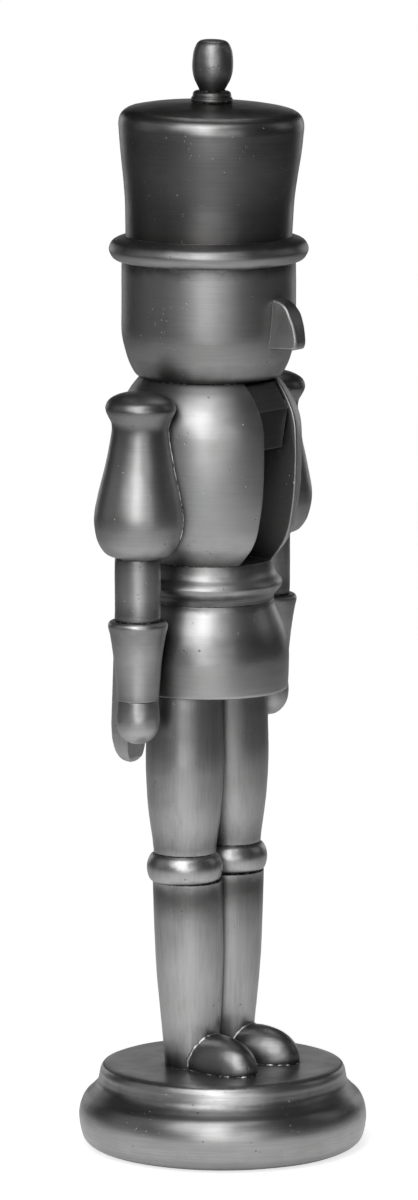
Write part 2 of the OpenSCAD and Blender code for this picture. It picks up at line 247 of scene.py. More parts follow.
def hand_finish(bm, seed, depth=0.05, grain=9.0):
    """Moves every point a little along its normal, as hand sanding and thick lacquer leave a
    turned surface. grain is the size of the unevenness in mm."""
    bm.normal_update()
    shift = Vector((seed * 7.3, seed * 3.1, seed * 5.7))
    for v in bm.verts:
        broad = noise.noise(v.co / grain + shift)
        fine = noise.noise(v.co / (grain * 0.3) + shift)
        v.co += v.normal * depth * (broad + 0.35 * fine)


def combine(piece, others, operation):
    """Applies an exact boolean and removes the other objects."""
    for other in others:
        modifier = piece.modifiers.new(operation.lower(), "BOOLEAN")
        modifier.operation = operation
        modifier.solver = "EXACT"
        modifier.object = other
    mesh = evaluated_mesh(piece)
    piece.modifiers.clear()
    piece.data = mesh
    for other in others:
        bpy.data.objects.remove(other)
    mesh.set_sharp_from_angle(angle=CREASE_ANGLE)
    return piece


def seam_points(piece, wanted):
    """The points, in order and in mm, of the longest run of hard edges of a cut piece. wanted
    tells whether a point may be in it."""
    bm = bmesh.new()
    bm.from_mesh(piece.data)
    sharp = [e for e in bm.edges if e.calc_face_angle(0) > SEAM_ANGLE
             and all(wanted(v.co / MM) for v in e.verts)]
    beside = {}
    for e in sharp:
        for v in e.verts:
            beside.setdefault(v, []).append(e.other_vert(v))
    best = []
    left = set(beside)
    while left:
        ends = [v for v in left if len(beside[v]) == 1]
        start = min(ends or left, key=lambda v: tuple(v.co))
        run, here = [start], start
        left.discard(start)
        while True:
            onward = [v for v in beside[here] if v in left]
            if not onward:
                break
            here = onward[0]
            left.discard(here)
            run.append(here)
        if len(run) > len(best):
            best = run
    points = [v.co / MM for v in best]
    bm.free()
    return points


def make_seam(name, points, radius, seed):
    """A thin uneven bead of lacquer along a joint."""
    even = [points[0]]
    for p in points[1:]:
        if (p - even[-1]).length >= SEAM_SPACING:
            even.append(p)
    even = [(a + 2 * b + c) / 4 for a, b, c in zip(even, even[1:], even[2:])]
    data = bpy.data.curves.new(name, "CURVE")
    data.dimensions = "3D"
    data.bevel_depth = radius * MM
    data.bevel_resolution = 3
    data.use_fill_caps = True
    line = data.splines.new("POLY")
    line.points.add(len(even) - 1)
    shift = Vector((seed * 5.1, seed * 2.7, seed * 9.3))
    apart = (Vector(), Vector((40.3, 0, 0)), Vector((0, 40.3, 0)))
    for point, p in zip(line.points, even):
        # Three plain noises: noise.noise_vector starts from the clock and differs each run
        wander = Vector([noise.noise(p / 1.6 + shift + offset) for offset in apart])
        point.co = (*((p + wander * 0.5 * radius) * MM), 1)
        point.radius = max(0.25, 0.9 + 0.9 * noise.noise(p / 1.1 - shift))
    curve = placed(name, data)
    mesh = evaluated_mesh(curve)
    bpy.data.objects.remove(curve)
    shade_smooth(mesh)
    return placed(name, mesh)


def rounded(piece, width, segments=4, angle=26, below=None):
    """Rounds a piece's hard edges, or only those that lie wholly below a height in mm."""
    piece.modifiers.clear()
    modifier = piece.modifiers.new("round", "BEVEL")
    modifier.width = width * MM
    modifier.segments = segments
    modifier.miter_outer = "MITER_ARC"
    modifier.limit_method = "ANGLE"
    modifier.angle_limit = math.radians(angle)
    if below is not None:
        modifier.limit_method = "WEIGHT"
        bm = bmesh.new()
        bm.from_mesh(piece.data)
        weight = bm.edges.layers.float.new("bevel_weight_edge")
        for edge in bm.edges:
            if (edge.calc_face_angle(0) > math.radians(angle)
                    and max(v.co.z for v in edge.verts) < below * MM):
                edge[weight] = 1
        bm.to_mesh(piece.data)
        bm.free()
    mesh = evaluated_mesh(piece)
    piece.modifiers.clear()
    piece.data = mesh
    shade_smooth(mesh)
    mesh.set_sharp_from_angle(angle=math.radians(60))
    weighted = piece.modifiers.new("even_shading", "WEIGHTED_NORMAL")
    weighted.keep_sharp = True
    return piece


# ---- Materials ----

class Nodes:
    """Short calls for building the node tree of a material or a world."""

    def __init__(self, owner, coordinates="Object"):
        owner.use_nodes = True
        self.owner = owner
        self.tree = owner.node_tree
        self.shader = self.tree.nodes.get("Principled BSDF")
        self.place = self.node("ShaderNodeTexCoord").outputs[coordinates]

    def node(self, kind, **settings):
        made = self.tree.nodes.new(kind)
        for key, value in settings.items():
            setattr(made, key, value)
        return made

    def link(self, source, target):
        self.tree.links.new(source, target)

    def set(self, **values):
        """Sets plain numbers on the shader: Coat_Weight=0.1 sets its Coat Weight."""
        for name, value in values.items():
            self.shader.inputs[name.replace("_", " ")].default_value = value

    def stretched(self, x, y, z):
        """The object's own coordinates, multiplied along each axis."""
        mapping = self.node("ShaderNodeMapping")
        self.link(self.place, mapping.inputs["Vector"])
        mapping.inputs["Scale"].default_value = (x, y, z)
        return mapping.outputs["Vector"]

    def noise(self, vector, scale, detail=3.0, roughness=0.55):
        made = self.node("ShaderNodeTexNoise")
        self.link(vector, made.inputs["Vector"])
        made.inputs["Scale"].default_value = scale
        made.inputs["Detail"].default_value = detail
        made.inputs["Roughness"].default_value = roughness
        return made.outputs["Fac"]

    def ramp(self, value, stops):
        made = self.node("ShaderNodeValToRGB")
        self.link(value, made.inputs["Fac"])
        ramp = made.color_ramp
        while len(ramp.elements) < len(stops):
            ramp.elements.new(0.5)
        for element, (position, shade) in zip(ramp.elements, stops):
            element.position = position
            element.color = (*shade, 1) if isinstance(shade, tuple) else (shade, shade, shade, 1)
        return made.outputs["Color"]

    def mix(self, factor, a, b, blend="MIX"):
        made = self.node("ShaderNodeMix", data_type="RGBA", blend_type=blend)
        for socket, value in ((made.inputs[0], factor), (made.inputs[6], a), (made.inputs[7], b)):
            if isinstance(value, bpy.types.NodeSocket):
                self.link(value, socket)
            elif isinstance(value, tuple):
                socket.default_value = (*value, 1)
            else:
                socket.default_value = value
        return made.outputs[2]

    def maths(self, operation, a, b=0.5):
        made = self.node("ShaderNodeMath", operation=operation)
        for socket, value in zip(made.inputs, (a, b)):
            if isinstance(value, bpy.types.NodeSocket):
                self.link(value, socket)
            else:
                socket.default_value = value
        return made.outputs[0]

    def times(self, a, b):
        return self.maths("MULTIPLY", a, b)

    def along(self, direction):
        """How far a point lies in a direction."""
        dot = self.node("ShaderNodeVectorMath", operation="DOT_PRODUCT")
        self.link(self.place, dot.inputs[0])
        dot.inputs[1].default_value = direction
        return dot.outputs["Value"]

    def bump(self, height, distance, before=None):
        made = self.node("ShaderNodeBump")
        self.link(height, made.inputs["Height"])
        made.inputs["Distance"].default_value = distance
        made.inputs["Strength"].default_value = 1.0
        if before is not None:
            self.link(before, made.inputs["Normal"])
        return made.outputs["Normal"]

    def nearness(self, distance, stops, inside=False):
        """A ramp over how sheltered a point is by what stands within a distance in mm. inside
        looks into the piece, which finds its outer edges."""
        close = self.node("ShaderNodeAmbientOcclusion", samples=6, inside=inside)
        close.inputs["Distance"].default_value = distance * MM
        return self.ramp(close.outputs["AO"], stops)

    def dots(self, cell, patch, start):
        """Sparse round dots, only where a slow noise rises past the start."""
        spots = self.node("ShaderNodeTexVoronoi")
        self.link(self.place, spots.inputs["Vector"])
        spots.inputs["Scale"].default_value = cell
        round_dots = self.ramp(spots.outputs["Distance"], [(0.05, 1.0), (0.14, 0.0)])
        patches = self.noise(self.place, patch, detail=0.0)
        return self.times(round_dots, self.ramp(patches, [(start, 0.0), (start + 0.06, 1.0)]))


# How fast the brush strokes vary along x, y and z, per metre: they run along the slow axes
LEVEL_STROKES = (60, 60, 1900)
UPRIGHT_STROKES = (1500, 1500, 60)

BODY_DULL, BODY_CLEAR = (0.395, 0.392, 0.389), (0.455, 0.457, 0.461)
BODY_STREAK = (0.60, 0.60, 0.605)
# The dark of the antique paint and of the nicks, also used as painted shade
DARK_PAINT_AND_SHADE = (0.042, 0.039, 0.037)
RUBBED_EDGE = (0.78, 0.78, 0.78)
WORN_SPECK = (0.75, 0.75, 0.75)
BRIGHT_PIT = (0.6, 0.6, 0.61)
BAND_DRIFT = 5        # how far the edge of a dark band wanders in all, in mm


def pewter(name, strokes, seed, wash_and_shade=(), tone=1.0, rough=0.0, marks=1.0, hollow_shade_and_wash=1.0):
    """Antique pewter lacquer: brush strokes, cloudy mottling, dark bands round the joints that are
    partly antique dark paint and partly painted shade, dark paint and painted shade in creases
    and sheltered places, sparse pits, bright specks along tight creases, and rubbed edges.
    wash_and_shade holds (height in mm, brightness) stops, tone multiplies the colour, rough adds
    to the roughness, marks scales the strokes, and hollow_shade_and_wash scales the dark paint
    and painted shade of creases and sheltered places."""
    n = Nodes(bpy.data.materials.new(name))
    shifted = n.node("ShaderNodeVectorMath", operation="ADD")
    n.link(n.stretched(*strokes), shifted.inputs[0])
    shifted.inputs[1].default_value = (seed * 3.7, seed * 1.9, seed * 2.3)
    brushed = n.noise(shifted.outputs[0], 1.0, detail=5.0, roughness=0.62)
    streaks = n.noise(shifted.outputs[0], 0.22, detail=3.0)
    clouds = n.noise(n.place, 55.0, detail=4.0)
    sparkle = n.noise(n.place, 5200.0, detail=1.0)

    # Creases and sheltered places, found by occlusion, are darkened below: partly dark paint
    # gathered there and partly painted shade
    crease = n.nearness(2.6, [(0.25, 1.0), (0.75, 0.0)])
    sheltered = n.nearness(13, [(0.3, 1.0), (0.85, 0.0)])
    tight = n.nearness(0.7, [(0.35, 1.0), (0.6, 0.0)])
    edge = n.nearness(0.6, [(0.35, 1.0), (0.62, 0.0)], inside=True)
    pits = n.dots(620.0, 210.0, 0.62)
    nicks = n.dots(410.0, 120.0, 0.6)
    worn = n.ramp(n.noise(n.place, 900.0, detail=2.0), [(0.52, 0.0), (0.6, 1.0)])
    worn = n.times(tight, worn)

    body = n.ramp(clouds, [(0.3, BODY_DULL), (0.7, BODY_CLEAR)])
    lines = n.ramp(brushed, [(0.3, 0.78), (0.5, 1.0), (0.72, 1.15)])
    colour = n.mix(0.55 * marks, body, lines, "MULTIPLY")
    streaked = n.ramp(streaks, [(0.45, 0.0), (0.7, 1.0)])
    colour = n.mix(n.times(streaked, 0.14 * marks), colour, BODY_STREAK)
    # Dark bands by height: partly antique dark paint round the joints and partly painted shade
    if wash_and_shade:
        split = n.node("ShaderNodeSeparateXYZ")
        n.link(n.place, split.inputs[0])
        drift = n.times(n.maths("SUBTRACT", n.noise(n.place, 130.0), 0.5), BAND_DRIFT * MM)
        height = n.maths("DIVIDE", n.maths("ADD", split.outputs["Z"], drift), FULL_HEIGHT * MM)
        bright = n.ramp(height, [(h / FULL_HEIGHT, shade) for h, shade in wash_and_shade])
        colour = n.mix(bright, DARK_PAINT_AND_SHADE, colour)
    # The first two are dark paint and painted shade in creases and sheltered places; nicks, rubbed
    # edges, worn specks and pits are marks of the lacquer
    for mask, strength, shade in ((sheltered, 0.5 * hollow_shade_and_wash, DARK_PAINT_AND_SHADE),
                                  (crease, 0.8 * hollow_shade_and_wash, DARK_PAINT_AND_SHADE),
                                  (nicks, 0.7 * marks, DARK_PAINT_AND_SHADE), (edge, 0.45, RUBBED_EDGE),
                                  (worn, 0.8, WORN_SPECK), (pits, 0.6, BRIGHT_PIT)):
        colour = n.mix(n.times(mask, strength), colour, shade)
    if tone != 1.0:
        colour = n.mix(1.0, colour, (tone, tone, tone), "MULTIPLY")
    n.link(colour, n.shader.inputs["Base Color"])

    satin = n.ramp(brushed, [(0.3, 0.39 + rough), (0.7, 0.32 + rough)])
    cloudy_satin = n.ramp(clouds, [(0.3, 0.39 + rough), (0.7, 0.33 + rough)])
    satin = n.mix(1 - 0.5 * marks, satin, cloudy_satin)
    satin = n.mix(crease, satin, (0.55, 0.55, 0.55))
    n.link(satin, n.shader.inputs["Roughness"])

    normal = n.bump(brushed, 0.026 * marks * MM)
    normal = n.bump(sparkle, 0.008 * MM, normal)
    normal = n.bump(worn, 0.08 * MM, normal)
    normal = n.bump(n.maths("ADD", pits, nicks), -0.12 * MM, normal)
    n.link(normal, n.shader.inputs["Normal"])
    n.set(Metallic=0.97, Coat_Weight=0.10, Coat_Roughness=0.25)
    return n.owner


def bare_pewter(name, start):
    """Lacquer rubbed through to brighter metal in uneven patches: the lower the start, the more
    of it is bright."""
    n = Nodes(bpy.data.materials.new(name))
    patches = n.noise(n.place, 380.0, detail=4.0, roughness=0.7)
    shine = n.ramp(patches, [(start - 0.05, 0.5), (start + 0.2, 0.28)])
    n.link(n.ramp(patches, [(start, 0.04), (start + 0.13, 0.9)]), n.shader.inputs["Base Color"])
    n.link(shine, n.shader.inputs["Roughness"])
    n.link(n.bump(patches, 0.05 * MM), n.shader.inputs["Normal"])
    n.set(Metallic=1.0)
    return n.owner


def felt():
    n = Nodes(bpy.data.materials.new("green_felt"))
    fibres = n.noise(n.place, 3200.0, detail=4.0, roughness=0.7)
    clumps = n.noise(n.place, 260.0, detail=3.0)
    colour = n.ramp(fibres, [(0.3, (0.035, 0.085, 0.050)), (0.75, (0.120, 0.240, 0.150))])
    n.link(n.mix(0.5, colour, n.ramp(clumps, [(0.3, 0.75), (0.7, 1.1)]), "MULTIPLY"),
           n.shader.inputs["Base Color"])
    n.link(n.ramp(clumps, [(0.3, 0.98), (0.7, 0.86)]), n.shader.inputs["Roughness"])
    n.link(n.bump(fibres, 0.25 * MM), n.shader.inputs["Normal"])
    n.set(Sheen_Weight=0.4)
    return n.owner


def beech():
    n = Nodes(bpy.data.materials.new("beech_dowel"))
    grain = n.noise(n.stretched(900, 900, 60), 1.0, detail=4.0)
    flecks = n.noise(n.stretched(2600, 2600, 420), 1.0, detail=2.0)
    colour = n.ramp(grain, [(0.3, (0.56, 0.40, 0.25)), (0.7, (0.76, 0.60, 0.42))])
    n.link(n.mix(0.4, colour, n.ramp(flecks, [(0.35, 0.6), (0.6, 1.0)]), "MULTIPLY"),
           n.shader.inputs["Base Color"])
    n.link(n.ramp(grain, [(0.3, 0.72), (0.7, 0.58)]), n.shader.inputs["Roughness"])
    n.link(n.bump(flecks, 0.05 * MM), n.shader.inputs["Normal"])
    return n.owner


def steel():
    n = Nodes(bpy.data.materials.new("pin_steel"))
    drawn = n.noise(n.stretched(80, 2400, 2400), 1.0, detail=3.0)
    n.link(n.ramp(drawn, [(0.3, 0.50), (0.7, 0.68)]), n.shader.inputs["Base Color"])
    n.link(n.ramp(drawn, [(0.3, 0.38), (0.7, 0.24)]), n.shader.inputs["Roughness"])
    n.link(n.bump(drawn, 0.01 * MM), n.shader.inputs["Normal"])
    n.set(Metallic=1.0)
    return n.owner


def show(piece, node, body, material):
    """Gives a piece its finish and lets it stand for its CAD node."""
    piece.data.materials.clear()
    piece.data.materials.append(material)
    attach(piece, body)
    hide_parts(node)


def add_seam(name, points, radius, seed, material):
    """Adds a bead of lacquer, which stands for no CAD node, to the figure."""
    seam = make_seam(name, points, radius, seed)
    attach(seam, "figure")
    seam.data.materials.append(material)


def recolour(node, material):
    """Gives a CAD node that keeps its own shape a better material."""
    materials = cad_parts[node].data.materials
    materials.clear()
    materials.append(material)


# ---- Base and legs ----

def make_base():
    recess = low("base").z
    pad_top = high("base_felt").z
    lower = [[41, 0], [43.4, 1.1], [45.2, 3.4], [46.2, 8.6], [45.8, 12.6], [44.4, 15.8],
             [42.2, 18], [40.3, 20.2]]
    upper = [[39.7, 22.4], [39.3, 24.4], [38.5, 25.8], [37, base_top - recess]]
    side = softened([[r, z + recess] for r, z in smooth(lower + upper)], 0.6, 1.2)
    pad_r = (high("base_felt").x - low("base_felt").x) / 2 + 0.05
    under = floor_rings(pad_r, pad_top) + [[pad_r, pad_top], [pad_r, recess], [38, recess]]
    top = floor_rings(side[-1][0], base_top, 2.0)[::-1]
    bm = lathe(under + side + top, 256)
    hand_finish(bm, 1, 0.09, 16)
    return finished("round_base", bm)


def make_felt():
    r, h = (high("base_felt").x - low("base_felt").x) / 2, high("base_felt").z
    side = softened([[r, 0], [r, h / 2], [r, h]], 0.3, 0.3)
    bm = lathe(floor_rings(r - 0.6, 0) + side + floor_rings(r - 0.6, h)[::-1], 160)
    bm.normal_update()
    for v in bm.verts:
        v.co += v.normal * 0.04 * (noise.noise(v.co / 0.8) - 0.6)
    return finished("felt_pad", bm)


def in_leg_room(bm, side, bottom=None, top=None):
    """Planes the inner side of a leg's piece flat, just short of the middle plane."""
    trim(bm, (side * 0.03, 0, 0), (-side, 0, 0))
    if bottom is not None:
        trim(bm, (0, 0, bottom), (0, 0, -1))
    if top is not None:
        trim(bm, (0, 0, top), (0, 0, 1))


def boot_solid(side, grow=0.0, seed=None):
    """A boot's solid, or a plain one that stands a little off it for cutting."""
    ankle_r, top_r, height = 8.7, 11.1, knee_z - base_top
    lean = math.atan((top_r - ankle_r) / height)
    outline = [[ankle_r - 0.05, -2], [ankle_r, 0], [ankle_r + 0.45, 9], [ankle_r + 1.2, 19],
               [top_r - 0.25, 36], [top_r, 53], [top_r, height + 2]]
    place = Vector((side * ankle_x, ankle_y, base_top))
    bm = lathe([[r + grow, z] for r, z in smooth(outline, 12)], AROUND_SMALL, place)
    turn(bm, side * lean, "Y", place)
    if seed is not None:
        hand_finish(bm, seed, 0.09, 11)
    in_leg_room(bm, side, base_top, knee_z)
    return bm


shoe_r, shoe_h = 8.2, 11.3
toe_reach = 27.1      # from the ankle to the tip of the toe
shoe_middle = 12      # from the ankle to the widest part of the shoe
splay = math.radians(7)
stretch = (toe_reach - shoe_middle) / shoe_r


def make_shoe(side):
    half = [[shoe_r - 0.2, 0], [shoe_r, 1.6], [shoe_r - 0.25, 3.9], [shoe_r - 1, 6.3],
            [shoe_r - 2.3, 8.4], [shoe_r - 4.1, 10], [shoe_r - 6.1, shoe_h - 0.3],
            [0.05, shoe_h]]
    place = Vector((side * ankle_x, ankle_y, base_top))
    bm = lathe(softened(smooth(half, 8), 0.25, 0), 160, (0, 0, base_top))
    for v in bm.verts:
        v.co = Vector((v.co.x, v.co.y * stretch - shoe_middle, v.co.z))
    bmesh.ops.translate(bm, verts=bm.verts, vec=(place.x, place.y, 0))
    hand_finish(bm, 20 + side, 0.12, 7)
    turn(bm, side * splay, "Z", place)
    in_leg_room(bm, side)
    return finished(f"{name_of(side)}_toe_cap", bm)


def shoe_foot(side):
    """The line where a shoe meets the base, in front of the boot."""
    place = Vector((side * ankle_x, ankle_y, base_top + 0.1))
    line = []
    for degrees in range(-170, 171, 3):
        a = math.radians(degrees)
        out = Vector((shoe_r * math.sin(a), -shoe_r * math.cos(a) * stretch - shoe_middle, 0))
        out.rotate(Matrix.Rotation(side * splay, 3, "Z"))
        if out.length > 9.3 and side * (place.x + out.x) > 0.4:
            line.append(place + out)
    return line


def make_knee_band(side):
    height = thigh_z - knee_z
    outline = [[10.3, 0], [11.2, 0.8], [11.85, 2.4], [12.1, height / 2], [11.8, height - 2.7],
               [11, height - 1], [9.9, height]]
    bm = lathe(softened(smooth(outline), 0.5, 0.5), AROUND_SMALL, (side * knee_x, knee_y, knee_z))
    hand_finish(bm, 30 + side, 0.07, 8)
    in_leg_room(bm, side)
    return finished(f"{name_of(side)}_knee_roll", bm)


def make_thigh(side):
    height = skirt_z - thigh_z
    outline = [[9.9, 0], [10.3, 4], [11.1, 10], [11.8, 16], [12.25, 23], [12.45, 30],
               [12.25, 40], [11.9, height]]
    bm = lathe(softened(smooth(outline, 10)), AROUND_SMALL, (side * knee_x, knee_y, thigh_z))
    hand_finish(bm, 40 + side, 0.1, 12)
    in_leg_room(bm, side)
    return finished(f"{name_of(side)}_upper_leg", bm)


# ---- Body ----

def make_skirt():
    height = sash_z - skirt_z
    outline = [[25.2, 0], [25.4, 3], [25.6, 8], [25.6, 12], [25.1, 16], [24.3, 19], [23.25, 21.8],
               [22.15, 24.3], [21.35, 26.2], [20.9, 27.6], [20.75, height]]
    side = softened(smooth(outline), 0.6, 0.3)
    bm = lathe(floor_rings(side[0][0], 0) + side, AROUND, (0, axis_y, skirt_z))
    hand_finish(bm, 5, 0.09, 13)
    return finished("coat_hem", bm)


def make_sash():
    height = coat_z - sash_z
    outline = [[20.75, 0], [20.8, 0.9], [21.3, 2], [22.3, 3.1], [23.1, 4.1], [23.45, 5.2],
               [23.3, 6], [22.7, 6.95], [22.05, 7.7], [21.45, 8.45], [21.05, 9.4], [20.8, 10.5],
               [20.5, height]]
    side = softened(smooth(outline))
    bm = lathe(side + floor_rings(side[-1][0], height)[::-1], AROUND, (0, axis_y, sash_z))
    hand_finish(bm, 6, 0.07, 9)
    return finished("rolled_sash", bm)


def coat_curve(grow=0.0):
    """The coat's outline, or one that stands a little off it."""
    r = coat_r + grow
    outline = [[r - 9.1, 0], [r - 6.6, 3], [r - 4.3, 6.2], [r - 2.5, 10.5], [r - 1.2, 17],
               [r - 0.4, 23.5], [r, 31], [r, 39], [r - 0.3, 44], [r - 1.2, 47.8],
               [r - 2.8, 51.4], [r - 4.9, 55], [r - 7.6, coat_h]]
    return smooth(outline)


def coat_section(side, radius, height):
    """One half of the coat seen from above: the round outside, a rounded corner at each end, and
    the straight wall of the slot."""
    corner, arc_steps, wall_steps = 0.7, 100, 40
    start = math.asin((slot_half + corner) / radius)
    arc = [(radius * math.sin(a), radius * math.cos(a))
           for a in (start + (math.pi - 2 * start) * i / arc_steps for i in range(arc_steps + 1))]
    tip = math.sqrt(radius ** 2 - slot_half ** 2)
    wall = [(slot_half, (tip - corner) * (2 * i / wall_steps - 1)) for i in range(wall_steps + 1)]
    plan = arc + bend(arc[-1], (slot_half, -tip), wall[0], CORNER_STEPS[1:]) + wall
    plan += bend(wall[-1], (slot_half, tip), arc[0], CORNER_STEPS[1:])
    if side == RIGHT:
        plan = [(-x, f) for x, f in reversed(plan)]
    return [(x, axis_y - f, coat_z + height) for x, f in plan]


def make_coat():
    """Two rounded halves with the slot between them, and the web that joins them low inside."""
    web_front, web_back, web_top = 6, -15, coat_z + 20.4
    halves = []
    for side in (RIGHT, LEFT):
        loops = [coat_section(side, r, z) for r, z in coat_curve()]
        bm = loft(loops)
        hand_finish(bm, 7, 0.09, 15)
        halves.append(finished(f"coat_{name_of(side)}_half", bm))
    web = plate([[web_front, coat_z + 0.2], [web_back, coat_z + 0.2], [web_back, web_top],
                 [web_front, web_top]], slot_half + 0.6)
    coat = combine(halves[0], [halves[1], finished("web", web)], "UNION")
    coat.name = coat.data.name = "split_coat"
    return coat


def coat_cutter(grow):
    return finished("coat_cutter", lathe(coat_curve(grow), AROUND, (0, axis_y, coat_z)))


# ---- Arms ----

def make_sleeve(side):
    r, lean = 14.1, math.radians(1.4)
    z = coat_z + 4.1
    outline = [[7.6, 0], [10.4, 1.3], [12.7, 4.7], [r - 0.3, 8.8], [r, 12.2],
               [13.8, 15.8], [12.7, 21], [11.2, 27.5], [9.8, 34.5], [9, 40], [9.2, 42.8],
               [10.1, 44.6], [10.95, 46.4], [11.1, 48], [10.2, 49.8], [8.1, 51.2], [5, 52.2],
               [0.05, 52.6]]
    place = Vector((side * arm_x, arm_y, z))
    bm = lathe(softened(smooth(outline), 0.4, 0), AROUND_SMALL + 32, place)
    turn(bm, lean, "X", place)
    hand_finish(bm, 50 + side, 0.12, 11)
    trim(bm, (0, 0, z), (0, 0, -1))
    sleeve = finished(f"{name_of(side)}_vase_sleeve", bm)
    return combine(sleeve, [coat_cutter(0.12)], "DIFFERENCE")


def make_forearm(side):
    bottom, top = low("right_forearm").z, high("right_forearm").z
    r = 7.3
    outline = softened([[r, h] for h in (0, 3, 6, 9, 12, 15, 18, top - bottom)], 0.3, 0.3)
    bm = lathe(outline, AROUND_SMALL, (side * arm_x, arm_y, bottom))
    hand_finish(bm, 60 + side, 0.09, 9)
    return finished(f"{name_of(side)}_lower_arm", bm)


def make_cuff(side):
    bottom = low("right_cuff").z
    height = high("right_cuff").z - bottom
    outline = [[6.6, 0], [6.75, 2.4], [7.15, 8], [7.8, 14], [8.7, 20], [9.35, height - 2.4],
               [9.4, height - 1], [8.7, height - 0.1], [7.8, height]]
    bm = lathe(softened(smooth(outline), 0.35, 0.2), AROUND_SMALL, (side * arm_x, arm_y, bottom))
    hand_finish(bm, 70 + side, 0.09, 9)
    return finished(f"{name_of(side)}_flared_cuff", bm)


def make_hand(side):
    bottom = low("right_hand").z
    height = high("right_hand").z - bottom
    outline = [[0.05, 0], [2.4, 0.4], [4.7, 1.9], [6.3, 4.4], [6.85, 7.4], [6.75, 10.4],
               [6.4, height]]
    bm = lathe(softened(smooth(outline), 0, 0.3), AROUND_SMALL, (side * arm_x, arm_y, bottom))
    hand_finish(bm, 80 + side, 0.14, 7)
    return finished(f"{name_of(side)}_fist", bm)


# ---- Jaw ----

def make_lever():
    jaw_front = 17.5
    top_reach = lever_top - pin_z
    top = [[jaw_front, lever_top]]
    top += [[pin_forward - top_reach * math.sin(a), pin_z + top_reach * math.cos(a)]
            for a in (math.radians(d) for d in range(0, 25, 2))]
    back = [[-22, coat_z + 52.2], [-27.4, coat_z + 49], [-30, coat_z + 43],
            [-31.2, coat_z + 4], [-33.5, 160], [-35.4, 134]]
    under = [[-35.3, 129], [-34.5, 125], [-33, 122], [-30.8, 121], [-29.5, 122.6]]
    front = [[-28.8, 131], [-27.9, 146], [-26.6, 163], [-24.9, 180], [-22.8, 196],
             [-20.2, 206], [-16, 212.6], [-8, 217], [4, 221], [jaw_front, coat_z + 37.8]]
    bm = plate(top + smooth(back, 5) + smooth(under, 4) + smooth(front, 5), lever_half)
    lever = finished("lever_and_tail", bm)
    tip = smooth([[-5.1, 131], [-4.6, 126.4], [-3.7, 123.3], [-2.1, 121.5], [0, 120.9],
                  [2.1, 121.5], [3.7, 123.3], [4.6, 126.4], [5.1, 131]], 4)
    shoulder_z = 200
    from_behind = plate(tip + [[lever_half, shoulder_z], [lever_half, head_z],
                               [-lever_half, head_z], [-lever_half, shoulder_z]], 60)
    turn(from_behind, math.pi / 2, "Z", (0, axis_y, 0))
    combine(lever, [finished("tail_outline", from_behind)], "INTERSECT")
    return rounded(rounded(lever, 2.2, 6, below=shoulder_z), 0.7)


def make_beard():
    crease_z, bottom_z = head_z - 9, head_z - 21.3
    bm = plate([[17.5, lever_top], [20.2, lever_top], [25.5, crease_z], [25.5, bottom_z],
                [17.5, bottom_z]], lever_half)
    narrow = Vector((crease_z - bottom_z, 0, 4.7 - lever_half)).normalized()
    for side in (RIGHT, LEFT):
        trim(bm, (side * lever_half, 0, crease_z), (side * narrow.x, 0, narrow.z))
    return rounded(finished("beard_plate", bm), 0.4, angle=20)


# ---- Head and hat ----

def make_head():
    r, height = 27.75, brim_z - head_z
    outline = [[21.9, 0], [23.1, 0.8], [r - 3.6, 2.2], [r - 2.3, 5], [r - 1.3, 8.2],
               [r - 0.45, 11.8], [r - 0.05, 15.5], [r, 24], [r - 0.1, height - 1],
               [r - 0.4, height]]
    side = softened(smooth(outline), 0.6, 0.3)
    bm = lathe(floor_rings(side[0][0], 0) + side, AROUND, (0, axis_y, head_z))
    hand_finish(bm, 8, 0.09, 15)
    return finished("plain_head", bm)


def make_nose():
    """A wedge with a quarter-round ridge, sunk a little into the head."""
    r, foot_z, top_z = 27.75, low("nose").z, low("nose").z + 15.9
    reach, ridge_half, foot_half, sunk = axis_y - low("nose").y, 2.75, 4.7, 2
    ridge = smooth([[r - 1, top_z], [r + 2, top_z - 0.6], [r + 4.6, top_z - 2.2],
                    [r + 6.6, top_z - 5], [r + 8, top_z - 8.6], [reach, top_z - 12.4],
                    [reach - 0.1, foot_z + 1.6], [reach - 0.7, foot_z + 0.4],
                    [reach - 1.8, foot_z]], 5)
    bm = plate([[r - sunk, foot_z], [r - sunk, top_z]] + ridge, 10)
    for side in (RIGHT, LEFT):
        upright = Vector((top_z - foot_z, 0, foot_half - ridge_half)).normalized()
        trim(bm, (side * foot_half, 0, foot_z), (side * upright.x, 0, upright.z))
        inward = Vector((reach - r, -(foot_half - ridge_half), 0)).normalized()
        trim(bm, (side * foot_half, axis_y - r, 0), (side * inward.x, inward.y, 0))
    return rounded(finished("wedge_nose", bm), 1.0, 6, angle=22)


def make_brim():
    outline = [[28.2, 0], [29.9, 0.5], [31, 1.7], [31.7, brim_h / 2 - 0.2], [30.9, brim_h - 2],
               [29.4, brim_h - 0.9], [27.3, brim_h - 0.2], [26.6, brim_h]]
    bm = lathe(softened(smooth(outline, 9), 0.5, 0.3), 224, (0, axis_y, brim_z))
    hand_finish(bm, 9, 0.07, 13)
    return finished("rolled_brim", bm)


def tipped(bm):
    """Leans what stands on the brim back a little, as in the photo."""
    turn(bm, hat_lean, "X", (0, axis_y, hat_z))


def make_hat():
    outline = [[26.4, -1], [26.45, 1], [26.6, 5.4], [26.9, 11.6], [27.6, 18.4], [28.7, 27],
               [29.25, 33], [29.4, 35.6], [28.9, 37.8], [27.5, 39.4], [25, 40.4], [18, 41.5],
               [9, hat_h - 0.4], [0.05, hat_h]]
    bm = lathe(smooth(outline, 9), 224, (0, axis_y, hat_z))
    tipped(bm)
    hand_finish(bm, 10, 0.09, 15)
    trim(bm, (0, 0, hat_z), (0, 0, -1))
    return finished("tall_hat", bm)


def make_collar():
    height = 3.4
    outline = [[6.5, 0], [6.65, 0.6], [6.5, 1.2], [6.15, 1.6], [6.1, 2.3], [5.8, 3], [5.2, height]]
    bm = lathe(softened(smooth(outline, 9), 0.2, 0.3), 96, (0, axis_y, hat_z + hat_h))
    tipped(bm)
    hand_finish(bm, 11, 0.05, 4)
    return finished("stepped_collar", bm)


